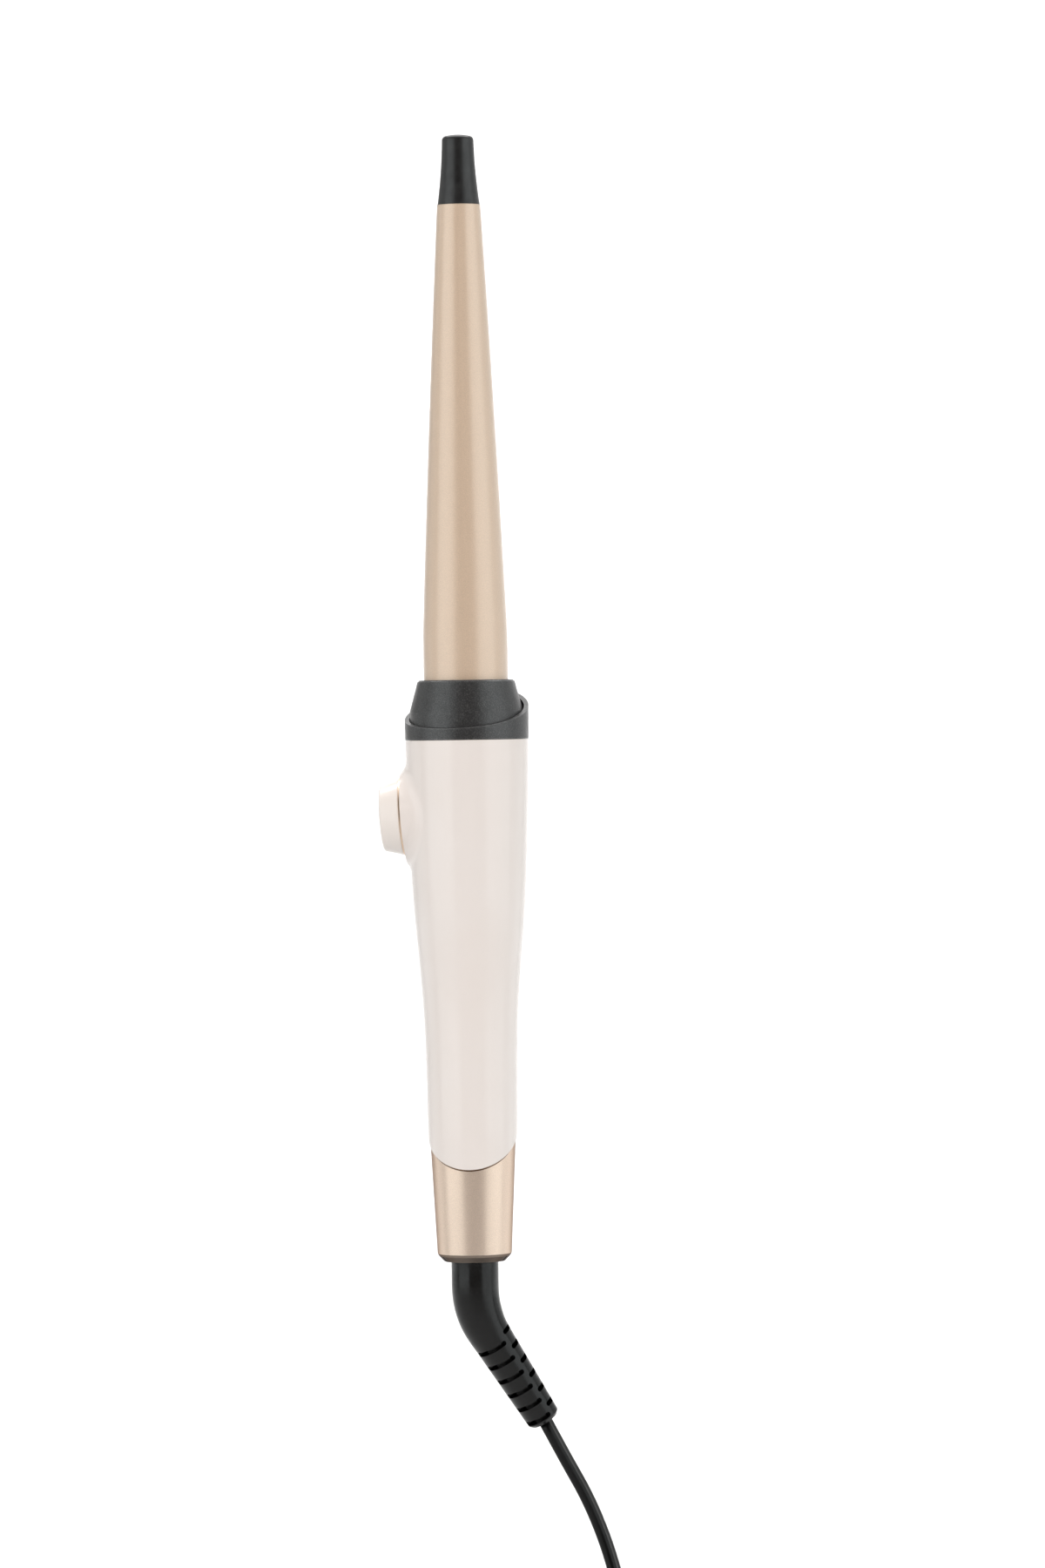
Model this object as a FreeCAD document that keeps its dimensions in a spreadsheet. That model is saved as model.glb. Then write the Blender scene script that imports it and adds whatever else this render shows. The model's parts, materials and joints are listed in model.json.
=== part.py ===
import FreeCAD, Part
import math
import os
import re
import Sketcher
from FreeCAD import Placement, Rotation, Vector

# A curling wand with a tapered barrel, a slim handle, a side dial, a swivelling cord and a plug.
# Heights below are measured up the wand's axis from the end of its cuff.  Every node is then lowered
# by grip_height, so that the origin lies on the axis where a hand holds the handle.
# +Z points along the barrel to its tip, the dial is on the -X side, and -Y is the front.

doc = FreeCAD.newDocument("CurlingWand")
sheet = doc.addObject("Spreadsheet::Sheet", "Dims")

DIMENSIONS = {
    "grip_height": 84.0,         # the grip's middle, above the cuff's end
    # Barrel
    "barrel_radius": 12.5,       # 25 mm across at the foot
    "barrel_end_radius": 6.45,   # 13 mm across at the far end
    "barrel_wall": 1.45,
    "barrel_foot": 150.0,
    "taper_foot": 186.0,
    "barrel_end": 313.0,
    "taper_arc": 9100.0,         # the taper's very slight outward curve
    # Cool tip
    "tip_foot_radius": 6.25,
    "tip_radius": 4.7,
    "tip_end": 333.8,
    "tip_spigot_radius": 4.85,
    "tip_spigot": 10.0,
    "tip_flare_arc": 168.0,
    # Heat guard cone and collar ring
    "cone_top": 172.3,
    "cone_top_radius": 14.4,
    "cone_skirt": 162.9,
    "cone_radius": 16.85,
    "cone_bore": 12.7,
    "cone_foot": 155.7,
    "ring_foot": 154.7,
    "ring_foot_radius": 18.3,
    "ring_top_radius": 18.5,
    "ring_inner": 17.1,
    "ring_top": 171.0,
    "rim_middle": 162.5,         # rim height at the axis
    "rim_slope": 17.5,           # degrees the rim rises towards the back
    "rim_arc": 139.0,            # radius of the rim's dish
    "rim_heading": 75.0,         # where the rim is highest, degrees from +X towards +Y
    # Handle
    "shell_wall": 1.6,
    "shell_tongue_bore": 11.5,
    "shell_gap": 0.05,           # half the joint line between the two shells
    "boundary_height": 37.0,     # slanted joint between shells and cuff, at the axis
    "boundary_slope": 37.5,      # degrees it rises towards the back
    "boundary_gap": 0.35,
    # Cuff
    "cuff_end_radius": 9.0,
    "cuff_edge_radius": 11.0,
    "cuff_edge": 2.3,
    "cuff_top_radius": 13.35,
    "cuff_top": 50.0,
    "cuff_hole": 7.3,
    "cuff_floor": 2.4,
    "cuff_inner": 9.4,
    "tongue_radius": 11.3,
    "tongue_wall": 1.2,
    "tongue_top": 54.0,
    # Dial
    "dial_reach": 19.5,          # from the axis to the dial's seam
    "dial_height": 132.0,
    "dial_tilt": 3.5,            # degrees the dial looks downward
    "dial_radius": 11.35,
    "dial_face_radius": 9.95,
    "dial_depth": 6.2,
    "dial_gap": 0.3,
    "trim_radius": 11.6,
    "trim_thickness": 0.45,
    "boss_radius": 11.95,
    "boss_blend": 5.0,
    "boss_wall": 1.8,
    "hub_radius": 3.4,
    "hub_bore": 2.3,
    "hub_length": 7.5,
    "button_radius": 4.9,
    "button_well": 5.15,
    "stem_radius": 1.9,
    # Swivel and boot
    "spindle_radius": 4.5,
    "spindle_bore": 2.6,
    "spindle_top": 22.0,
    "bush_clearance": 0.08,
    "boot_radius": 7.0,
    "boot_slot_radius": 6.2,     # where the flex slots start
    "boot_end_radius": 5.05,
    "boot_top": 2.2,
    "boot_straight": 7.65,       # below the cuff's end
    "boot_bend": 26.0,
    "boot_turn": 33.0,           # degrees
    "boot_heading": 26.0,        # where the boot bends to, degrees from +X towards +Y
    "boot_tail": 31.5,
    "slot_pitch": 5.2,
    "slot_first": 2.0,           # the last slot's middle, from the boot's end
    "slot_width": 1.5,
    "slot_depth": 2.1,
    "long_slot_middle": 40.0,    # degrees round from the boot's side
    "long_slot_sweep": 91.0,     # between the middles of a slot's round ends
    "short_slot_middle": -44.5,
    "short_slot_sweep": 34.0,
    # Board and carrier
    "board_face": 9.0,
    "board_thickness": 1.6,
    "board_width": 15.0,
    "board_foot": 74.0,
    "board_top": 141.0,
    "carrier_face": 3.5,
    "carrier_thickness": 2.0,
    # Cord
    "cord_width": 5.4,           # flat two-core cord
    "cord_thickness": 3.4,
    "surface_drop": 185.0,       # the surface that the coil lies on, below the cuff's end
    "coil_x": 9.0,
    "coil_y": 36.0,
    "coil_inner": 22.0,
    "coil_outer": 42.2,
    "coil_depth": 10.65,         # two layers of cord on edge, nested a little
    # Plug
    "plug_width": 35.3,
    "plug_height": 13.7,
    "plug_length": 35.3,
    "pin_radius": 2.0,
    "pin_length": 19.0,
    "pin_spacing": 18.6,
    "plug_gap": 0.35,            # between the plug's underside and the coil's top
    "plug_reach": 54.3,          # the pins' ends, from the wand's axis towards -X
}

for row, (alias, value) in enumerate(DIMENSIONS.items(), start=1):
    sheet.set("A%d" % row, alias)
    sheet.set("B%d" % row, str(value))
    sheet.setAlias("B%d" % row, alias)
doc.recompute()

NODES = {}


def size(expression):
    """The value of a spreadsheet expression, in millimetres or degrees."""
    return float(doc.Dims.evalExpression(expression))


def lowered(obj, label):
    """Names a finished sub-part and lowers it from its cuff-end height into the wand's frame."""
    heights = [rule for path, rule in obj.ExpressionEngine if path.endswith("Placement.Base.z")]
    obj.Label = label
    obj.setExpression("Placement.Base.z", (heights + ["0"])[0] + " - Dims.grip_height")
    NODES[label] = obj
    return obj


def on_dial_axis(obj, label):
    """Names a sub-part drawn with +Z out of the dial's face, and sets it on the handle's side."""
    obj.Label = label
    tilt = math.radians(size("dial_tilt"))
    outward = Vector(-math.cos(tilt), 0, -math.sin(tilt))
    obj.Placement = Placement(Vector(0, 0, 0), Rotation(Vector(0, 0, 1), outward))
    obj.setExpression("Placement.Base.x", "-Dims.dial_reach")
    obj.setExpression("Placement.Base.z", "Dims.dial_height - Dims.grip_height")
    NODES[label] = obj
    return obj


def with_dims(expression):
    """The same expression with each spreadsheet alias written as Dims.alias."""
    return re.sub(
        "[a-z_]+", lambda word: "Dims." + word[0] if word[0] in DIMENSIONS else word[0], expression
    )


def arc_between(start, end, radius):
    """The shorter arc from start to end; a positive radius bulges to the right of the way."""
    chord = end - start
    half = chord.Length / 2
    depth = math.sqrt(radius * radius - half * half)
    side = Vector(chord.y, -chord.x, 0).normalize()
    centre = (start + end) / 2 - side * math.copysign(depth, radius)
    angles = [math.atan2(point.y - centre.y, point.x - centre.x) for point in (start, end)]
    if radius < 0:
        angles.reverse()
    if angles[1] < angles[0]:
        angles[1] += 2 * math.pi
    circle = Part.Circle(centre, Vector(0, 0, 1), abs(radius))
    return Part.ArcOfCircle(circle, angles[0], angles[1])


def turned(name, outline):
    """A body turned about its Z axis.

    Each outline entry is (radius, height) or (radius, height, arc radius): the last makes the edge
    that leaves this point an arc.  All three are spreadsheet expressions.
    """
    body = doc.addObject("PartDesign::Body", name)
    sketch = body.newObject("Sketcher::SketchObject", name + "_outline")
    plane = next(item for item in body.Origin.OriginFeatures if item.Role == "XZ_Plane")
    sketch.AttachmentSupport = [(plane, "")]
    sketch.MapMode = "FlatFace"
    corners = [Vector(size(entry[0]), size(entry[1]), 0) for entry in outline]
    count = len(outline)
    for index, entry in enumerate(outline):
        start = corners[index]
        end = corners[(index + 1) % count]
        if len(entry) == 3:
            geometry = arc_between(start, end, size(entry[2]))
        else:
            geometry = Part.LineSegment(start, end)
        sketch.addGeometry(geometry)
    ends = []
    for index in range(count):
        first = sketch.getPoint(index, 1)
        forward = first.distanceToPoint(corners[index]) < 1e-6
        ends.append((1, 2) if forward else (2, 1))
    for index in range(count):
        following = (index + 1) % count
        sketch.addConstraint(
            Sketcher.Constraint("Coincident", index, ends[index][1], following, ends[following][0])
        )
    for index, entry in enumerate(outline):
        corner = corners[index]
        point = ends[index][0]
        if abs(corner.x) < 1e-9:
            sketch.addConstraint(Sketcher.Constraint("PointOnObject", index, point, -2))
        else:
            number = sketch.addConstraint(
                Sketcher.Constraint("DistanceX", -1, 1, index, point, corner.x)
            )
            sketch.setExpression("Constraints[%d]" % number, with_dims(entry[0]))
        if abs(corner.y) < 1e-9:
            sketch.addConstraint(Sketcher.Constraint("PointOnObject", index, point, -1))
        else:
            number = sketch.addConstraint(
                Sketcher.Constraint("DistanceY", -1, 1, index, point, corner.y)
            )
            sketch.setExpression("Constraints[%d]" % number, with_dims(entry[1]))
        if len(entry) == 3:
            radius = abs(size(entry[2]))
            number = sketch.addConstraint(Sketcher.Constraint("Radius", index, radius))
            sketch.setExpression("Constraints[%d]" % number, "abs( %s )" % with_dims(entry[2]))
    turn = body.newObject("PartDesign::Revolution", name + "_turn")
    turn.Profile = sketch
    turn.ReferenceAxis = (sketch, ["V_Axis"])
    turn.Angle = 360
    body.Tip = turn
    doc.recompute()
    return body


def cylinder(name, radius, length, at=("0", "0", "0"), along=Vector(0, 0, 1)):
    """A round bar that starts at a point and runs along a direction."""
    bar = doc.addObject("Part::Cylinder", name)
    bar.Placement = Placement(Vector(0, 0, 0), Rotation(Vector(0, 0, 1), along))
    bar.setExpression("Radius", with_dims(radius))
    bar.setExpression("Height", with_dims(length))
    for letter, value in zip("xyz", at):
        bar.setExpression("Placement.Base." + letter, with_dims(value))
    return bar


def block(name, corner, extent):
    """A rectangular block between a low corner and its three lengths."""
    box = doc.addObject("Part::Box", name)
    for letter, value in zip("xyz", corner):
        box.setExpression("Placement.Base." + letter, with_dims(value))
    for side, value in zip(("Length", "Width", "Height"), extent):
        box.setExpression(side, with_dims(value))
    return box


def joined(name, *pieces):
    """One solid, or one group of solids, from several."""
    group = doc.addObject("Part::MultiFuse", name)
    group.Shapes = list(pieces)
    return group


def cut(name, base, *tools):
    """The base with the tools taken away."""
    result = doc.addObject("Part::Cut", name)
    result.Base = base
    result.Tool = tools[0] if len(tools) == 1 else joined(name + "_tools", *tools)
    return result


def kept(name, base, tool):
    """The part of the base inside the tool."""
    result = doc.addObject("Part::Common", name)
    result.Base = base
    result.Tool = tool
    return result


def shaped(name, shape):
    """A free-form piece whose shape is worked out from the sheet's values."""
    piece = doc.addObject("Part::Feature", name)
    piece.Shape = shape
    return piece


# ---- barrel, tip and heater -------------------------------------------------------------------

def make_barrel():
    """The hollow aluminium barrel: a short cylinder, then a gently curved taper."""
    lowered(turned("barrel", [
        ("barrel_radius - barrel_wall", "barrel_foot"),
        ("barrel_radius", "barrel_foot"),
        ("barrel_radius", "taper_foot", "taper_arc"),
        ("barrel_end_radius", "barrel_end"),
        ("barrel_end_radius - barrel_wall + 0.05", "barrel_end"),
        ("barrel_radius - barrel_wall", "taper_foot"),
    ]), "barrel_tube")


def make_tip():
    """The cool tip with its spigot in the barrel, the disc that anchors it and its screw."""
    lowered(turned("tip", [
        ("1.3", "barrel_end - tip_spigot"),
        ("tip_spigot_radius", "barrel_end - tip_spigot"),
        ("tip_spigot_radius", "barrel_end + 0.1"),
        ("tip_foot_radius", "barrel_end + 0.1", "-tip_flare_arc"),
        ("tip_radius", "tip_end - 1.7", "1.3"),
        ("tip_radius - 1.1", "tip_end - 0.4", "16"),
        ("1.2", "tip_end"),
        ("0", "tip_end"),
        ("0", "barrel_end + 4"),
        ("1.3", "barrel_end + 4"),
    ]), "cool_tip")
    disc = cylinder("anchor_plate", "5.45", "3", ("0", "0", "barrel_end - 14"))
    disc_hole = cylinder("anchor_hole", "1.35", "5", ("0", "0", "barrel_end - 15"))
    lowered(cut("anchor", disc, disc_hole), "tip_anchor_disc")
    head = cylinder("tip_screw_head", "2.4", "1.8", ("0", "0", "barrel_end - 15.8"))
    shank = cylinder("tip_screw_shank", "1.22", "16", ("0", "0", "barrel_end - 14.5"))
    lowered(joined("tip_screw", head, shank), "tip_screw")


def make_heater():
    """Two tapered half-round spreaders press the heating stones and plates together."""
    for side, low in (("front", "-12"), ("back", "1.9")):
        cone = doc.addObject("Part::Cone", "spreader_cone_" + side)
        cone.Radius1 = 10.5
        cone.Radius2 = 6.0
        cone.Height = 96.0
        cone.Placement.Base.z = size("taper_foot") + 6
        half = block("spreader_half_" + side, ("-12", low, "taper_foot"), ("24", "10.1", "110"))
        lowered(kept("spreader_" + side, cone, half), "heat_spreader_" + side)
    sleeve = block("film_outer", ("-5.4", "-1.85", "190"), ("10.8", "3.7", "98"))
    sleeve_bore = block("film_inner", ("-4.9", "-1.45", "189"), ("9.8", "2.9", "100"))
    lowered(cut("film", sleeve, sleeve_bore), "insulation_film")
    for side, low in (("front", "-1.4"), ("back", "1")):
        plate = block("plate_" + side, ("-4.5", low, "196"), ("9", "0.4", "86"))
        tail = block("tail_" + side, ("-1.5", low, "184"), ("3", "0.4", "13"))
        lowered(joined("electrode_" + side, plate, tail), "electrode_" + side)
    stones = [
        block("stone_%d" % index, ("-4", "-0.95", str(196.5 + 21.5 * index)), ("8", "1.9", "20"))
        for index in range(4)
    ]
    lowered(joined("stones", *stones), "heating_stones")
    lowered(cylinder("sensor", "0.9", "5", ("8.6", "0", "180")), "temperature_sensor")
    lowered(cylinder("fuse", "1.7", "9", ("-6.5", "0", "172")), "thermal_fuse")


# ---- collar -----------------------------------------------------------------------------------

def rim_cutter():
    """A drum lying across the wand: its underside is the dished, slanted rim."""
    lean = math.radians(size("rim_slope"))
    heading = math.radians(size("rim_heading"))
    back = Vector(math.cos(heading), math.sin(heading), 0)
    across = Vector(-back.y, back.x, 0)
    centre = Vector(0, 0, size("rim_middle") + size("rim_arc") * math.cos(lean))
    centre = centre - back * size("rim_arc") * math.sin(lean)
    drum = doc.addObject("Part::Cylinder", "rim_drum")
    drum.setExpression("Radius", "Dims.rim_arc")
    drum.Height = 80
    drum.Placement = Placement(centre - across * 40, Rotation(Vector(0, 0, 1), across))
    return drum


def make_collar():
    """Charcoal ring with the slanted rim, the heat guard cone in it and the hub for the barrel."""
    ring = turned("ring", [
        ("15", "149"),
        ("16.5", "149"),
        ("16.5", "ring_foot"),
        ("ring_foot_radius", "ring_foot"),
        ("ring_top_radius", "ring_top"),
        ("ring_inner", "ring_top"),
        ("ring_inner", "cone_foot"),
        ("15", "cone_foot"),
    ])
    lowered(cut("ring_rim", ring, rim_cutter()), "collar_ring")
    lowered(turned("cone", [
        ("cone_bore", "cone_top - 1.6"),
        ("cone_bore", "cone_top"),
        ("cone_top_radius - 0.4", "cone_top", "0.4"),
        ("cone_top_radius", "cone_top - 0.4"),
        ("cone_radius", "cone_skirt"),
        ("cone_radius", "cone_foot"),
        ("cone_radius - 1.5", "cone_foot"),
        ("cone_radius - 1.5", "cone_skirt"),
        ("cone_top_radius - 1.2", "cone_top - 1.6"),
    ]), "heat_guard_cone")
    lowered(turned("hub", [
        ("6", "144"),
        ("14.6", "144"),
        ("14.6", "155.5"),
        ("barrel_radius + 0.05", "155.5"),
        ("barrel_radius + 0.05", "barrel_foot - 0.05"),
        ("6", "barrel_foot - 0.05"),
    ]), "barrel_hub")
    holes = [
        cylinder("shield_hole_%d" % index, "1.2", "4", ("0.6", "%s" % (2.35 * side), "161"))
        for index, side in enumerate((-1, 1))
    ]
    shield = cylinder("shield_disc", "10.9", "0.6", ("0", "0", "163"))
    lowered(cut("shield", shield, *holes), "mica_shield")


# ---- handle -----------------------------------------------------------------------------------

SHELL_PROFILE = [  # (radius, height) of the handle's outside, from its foot to the ring
    (12.55, 25.0), (13.2, 37.0), (13.45, 52.0), (14.1, 75.0), (15.5, 93.0),
    (16.5, 105.0), (17.15, 117.0), (17.8, 135.0), (18.2, 148.5), (18.28, 154.6),
]


def tilted_half_space(height, gap):
    """A large slab whose underside is the slanted joint between the shells and the cuff."""
    slab = Part.makeBox(80, 500, 500, Vector(-40, -250, gap))
    slab.rotate(Vector(0, 0, 0), Vector(1, 0, 0), size("boundary_slope"))
    slab.translate(Vector(0, 0, height))
    return slab


def revolved_profile(points, foot, top):
    """The solid under a smooth curve of (radius, height) points, turned about the axis."""
    curve = Part.BSplineCurve()
    curve.interpolate([Vector(radius, 0, height) for radius, height in points])
    edges = [curve.toShape()]
    corners = [curve.EndPoint, Vector(0, 0, top), Vector(0, 0, foot), curve.StartPoint]
    for start, end in zip(corners, corners[1:]):
        edges.append(Part.LineSegment(start, end).toShape())
    face = Part.Face(Part.Wire(edges))
    return face.revolve(Vector(0, 0, 0), Vector(0, 0, 1), 360)


def dial_tool(radius, low, high):
    """A round bar along the dial's axis, from low to high out of the dial's seam."""
    tilt = math.radians(size("dial_tilt"))
    outward = Vector(-math.cos(tilt), 0, -math.sin(tilt))
    seam = Vector(-size("dial_reach"), 0, size("dial_height"))
    return Part.makeCylinder(radius, high - low, seam + outward * low, outward)


def handle_outside():
    """The handle's outer form: the turned grip and the dial's boss, blended together."""
    foot = SHELL_PROFILE[0][1]
    top = SHELL_PROFILE[-1][1]
    grip = revolved_profile(SHELL_PROFILE, foot, top)
    boss = dial_tool(size("boss_radius"), -size("dial_reach") + 2, 6)
    whole = grip.fuse(boss)
    rims = [
        edge for edge in whole.Edges
        if edge.BoundBox.XMax < -8 and edge.BoundBox.XMin > -18.25 and edge.BoundBox.YLength > 1
    ]
    blended = whole.makeFillet(size("boss_blend"), rims)
    return blended.cut(dial_tool(25, -size("trim_thickness"), 12))


def handle_inside():
    """The hollow inside the shells, with the room behind the dial."""
    wall = size("shell_wall")
    points = [(max(radius - wall, size("shell_tongue_bore")), height)
              for radius, height in SHELL_PROFILE if height >= 52.0]
    hollow = revolved_profile(points, points[0][1], points[-1][1])
    tongue_room = Part.makeCylinder(size("shell_tongue_bore"), 60, Vector(0, 0, 20))
    recess_radius = size("boss_radius") - size("boss_wall")
    recess = dial_tool(recess_radius, -14, -size("trim_thickness") - size("boss_wall"))
    hub_hole = dial_tool(size("hub_radius") + size("dial_gap"), -6, 2)
    return hollow.fuse([tongue_room, recess, hub_hole])


def screw_post(x, height, front):
    """A post for a shell screw, square to the joint between the shells, trimmed to the handle."""
    start = Vector(x, -17, height) if front else Vector(x, 0, height)
    post = Part.makeCylinder(2.9, 17, start, Vector(0, 1, 0))
    bore = Part.makeCylinder(1.25, 40, Vector(x, -6, height), Vector(0, 1, 0))
    if not front:
        sink = Part.makeCylinder(2.3, 20, Vector(x, 3.2, height), Vector(0, 1, 0))
        bore = bore.fuse(sink)
    return post, bore


SHELL_SCREWS = [(8.0, 66.0), (12.0, 112.0)]  # (x, height) of the screws that join the shells


def make_shells():
    """Two glossy shells, joined on the wand's widest line, the dial's boss shared between them."""
    outside = handle_outside()
    wall = outside.cut(handle_inside())
    wall = wall.common(tilted_half_space(size("boundary_height"), size("boundary_gap")))
    gap = size("shell_gap")
    for side in ("front", "back"):
        front = side == "front"
        low = -60 if front else gap
        half_box = Part.makeBox(80, 60 - gap, 200, Vector(-40, low, 0))
        shell = wall.common(half_box)
        for x, height in SHELL_SCREWS:
            post, bore = screw_post(x, height, front)
            shell = shell.fuse(post.common(outside).common(half_box)).cut(bore)
        solid = max(shell.Solids, key=lambda item: item.Volume)
        lowered(shaped("shell_" + side, solid), "handle_%s_shell" % side)
    screws = []
    for index, (x, height) in enumerate(SHELL_SCREWS):
        place = (str(x), "3.3", str(height))
        head = cylinder("shell_screw_head_%d" % index, "2.1", "1.5", place, Vector(0, 1, 0))
        root = (str(x), "-5", str(height))
        shank = cylinder("shell_screw_shank_%d" % index, "1.2", "8.6", root, Vector(0, 1, 0))
        screws.append(joined("shell_screw_%d" % index, head, shank))
    lowered(joined("shell_screws", *screws), "shell_screws")


def make_cuff():
    """The metal-finished cuff: slanted top edge, chamfered end and a tongue inside the shells."""
    wall = turned("cuff_wall", [
        ("cuff_hole", "0"),
        ("cuff_end_radius", "0"),
        ("cuff_edge_radius - 0.5", "cuff_edge - 0.75"),
        ("cuff_edge_radius", "cuff_edge"),
        ("cuff_top_radius", "cuff_top"),
        ("tongue_radius - 0.1", "cuff_top"),
        ("cuff_inner", "12"),
        ("cuff_inner", "cuff_floor"),
        ("cuff_hole", "cuff_floor"),
    ])
    above = shaped("cuff_slant", tilted_half_space(size("boundary_height"), 0))
    tongue = turned("cuff_tongue", [
        ("tongue_radius - tongue_wall", "24"),
        ("tongue_radius", "24"),
        ("tongue_radius", "tongue_top"),
        ("tongue_radius - tongue_wall", "tongue_top"),
    ])
    lowered(joined("cuff", cut("cuff_body", wall, above), tongue), "end_cuff")


# ---- dial -------------------------------------------------------------------------------------

def make_dial():
    """The turning dial with its power button, trim ring and retaining clip."""
    on_dial_axis(turned("trim", [
        ("hub_radius + 4", "-trim_thickness"),
        ("trim_radius", "-trim_thickness"),
        ("trim_radius", "0"),
        ("hub_radius + 4", "0"),
    ]), "dial_trim_ring")
    on_dial_axis(turned("dial", [
        ("dial_radius - 1.4", "dial_gap"),
        ("dial_radius", "dial_gap"),
        ("dial_face_radius", "dial_depth - 0.9", "0.95"),
        ("dial_face_radius - 0.8", "dial_depth - 0.15"),
        ("button_well", "dial_depth"),
        ("button_well", "3.4"),
        ("hub_bore", "3.4"),
        ("hub_bore", "-hub_length"),
        ("hub_radius", "-hub_length"),
        ("hub_radius", "2.2"),
        ("6.7", "2.2"),
        ("6.7", "dial_depth - 1.6"),
        ("dial_face_radius - 1.3", "dial_depth - 1.7"),
    ]), "dial_knob")
    on_dial_axis(turned("button", [
        ("0", "-hub_length - 0.1"),
        ("stem_radius", "-hub_length - 0.1"),
        ("stem_radius", "4.6"),
        ("button_radius", "4.6"),
        ("button_radius", "dial_depth - 0.4", "0.6"),
        ("button_radius - 0.5", "dial_depth + 0.05", "30"),
        ("1.2", "dial_depth + 0.35"),
        ("0", "dial_depth + 0.35"),
    ]), "power_button")
    on_dial_axis(turned("clip", [
        ("hub_radius + 0.02", "-3.4"),
        ("hub_radius + 2.1", "-3.4"),
        ("hub_radius + 2.1", "-2.7"),
        ("hub_radius + 0.02", "-2.7"),
    ]), "dial_clip")
    case = block("pot_case", ("-6.5", "-6.5", "-9.8"), ("13", "13", "5.4"))
    bore = cylinder("pot_bore", "hub_radius + 0.1", "8", ("0", "0", "-11"))
    on_dial_axis(cut("pot", case, bore), "potentiometer")
    on_dial_axis(turned("switch", [
        ("0", "-9.8"),
        ("2.1", "-9.8"),
        ("2.1", "-9.3"),
        ("1.2", "-9.3"),
        ("1.2", "-8.7"),
        ("0", "-8.7"),
    ]), "push_switch")


# ---- board ------------------------------------------------------------------------------------

def make_board():
    """The circuit board behind the dial, its parts, and the carrier that holds it."""
    board = block(
        "board", ("-board_face", "-board_width / 2", "board_foot"),
        ("board_thickness", "board_width", "board_top - board_foot"),
    )
    lowered(board, "circuit_board")
    plate = block("carrier_plate", ("-carrier_face", "-9", "56"), ("carrier_thickness", "18", "86.5"))
    disc = cylinder("carrier_disc", "13.8", "2", ("0", "0", "141.5"))
    disc_hole = cylinder("carrier_hole", "6", "4", ("0", "0", "140.5"))
    posts = []
    for index, (y, height) in enumerate(((-5.5, 78), (5.5, 78), (-5.5, 138), (5.5, 138))):
        start = ("-board_face + board_thickness + 0.02", str(y), str(height))
        posts.append(cylinder("carrier_post_%d" % index, "1.8", "4", start, Vector(1, 0, 0)))
    base = joined("carrier_base", plate, disc, *posts)
    lowered(cut("carrier", base, disc_hole), "board_carrier")
    screws = []
    for index, (y, height) in enumerate(((-5.5, 78), (5.5, 78))):
        start = ("-board_face - 1.3", str(y), str(height))
        screws.append(cylinder("board_screw_%d" % index, "1.7", "1.28", start, Vector(1, 0, 0)))
    lowered(joined("board_screws", *screws), "board_screws")
    parts = {
        "capacitor": (("-board_face - 3", "-4", "86"), ("2.98", "8", "9")),
        "triac": (("-board_face - 2.5", "-5", "97"), ("2.48", "10", "8")),
        "control_chip": (("-board_face - 1.5", "-3", "109"), ("1.48", "6", "6")),
        "terminal_block": (("-carrier_face + carrier_thickness + 0.02", "-6", "96"), ("7", "12", "12")),
    }
    for name, (corner, extent) in parts.items():
        lowered(block(name, corner, extent), name)


# ---- paths and wires --------------------------------------------------------------------------

def rounded_path(points, share=0.45):
    """Straight runs joined by tangent arcs; returns the wire, its length and the arc radii."""
    edges = []
    radii = []
    last = points[0]
    for index in range(1, len(points) - 1):
        before = points[index] - points[index - 1]
        after = points[index + 1] - points[index]
        turn = before.getAngle(after)
        reach = share * min(before.Length, after.Length)
        radii.append(reach / math.tan(turn / 2))
        into = Vector(before).normalize()
        out = Vector(after).normalize()
        start = points[index] - into * reach
        end = points[index] + out * reach
        inward = (out - into).normalize()
        sagitta = radii[-1] * (1 / math.cos(turn / 2) - 1)
        edges.append(Part.LineSegment(last, start).toShape())
        edges.append(Part.Arc(start, points[index] + inward * sagitta, end).toShape())
        last = end
    edges.append(Part.LineSegment(last, points[-1]).toShape())
    wire = Part.Wire(edges)
    return wire, wire.Length, radii


def tube(points, section):
    """Sweeps a closed section, centred on the first point, along the rounded path."""
    path, length, radii = rounded_path(points)
    shape = path.makePipeShell([section], True, True)
    return shape, length, radii


def round_section(start, direction, radius):
    return Part.Wire(Part.makeCircle(radius, start, direction))


def flat_section(start, direction, width, thickness, wide):
    """A stadium across a direction, its long way along wide."""
    along = Vector(wide)
    normal = Vector(direction).normalize()
    along = (along - normal * along.dot(normal)).normalize()
    over = normal.cross(along)
    reach = (width - thickness) / 2
    half = thickness / 2
    a = start + along * reach + over * half
    b = start - along * reach + over * half
    c = start - along * reach - over * half
    d = start + along * reach - over * half
    return Part.Wire([
        Part.LineSegment(a, b).toShape(),
        Part.Arc(b, start - along * (reach + half), c).toShape(),
        Part.LineSegment(c, d).toShape(),
        Part.Arc(d, start + along * (reach + half), a).toShape(),
    ])


def make_leads():
    """Heater leads down to the terminal block, and mains leads up to it from the swivel."""
    for name, radius, x, foot, top in (
        ("heater_leads", 0.85, 0.6, 108.1, 184.0),
        ("mains_leads", 1.0, 2.0, 24.2, 95.9),
    ):
        pair = []
        for index, side in enumerate((-1, 1)):
            spread = 2.35 if name == "heater_leads" else 3.0
            start = (str(x), str(side * spread), str(foot))
            pair.append(cylinder("%s_%d" % (name, index), str(radius), str(top - foot), start))
        lowered(joined(name + "_pair", *pair), name)


# ---- swivel and boot --------------------------------------------------------------------------

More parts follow.
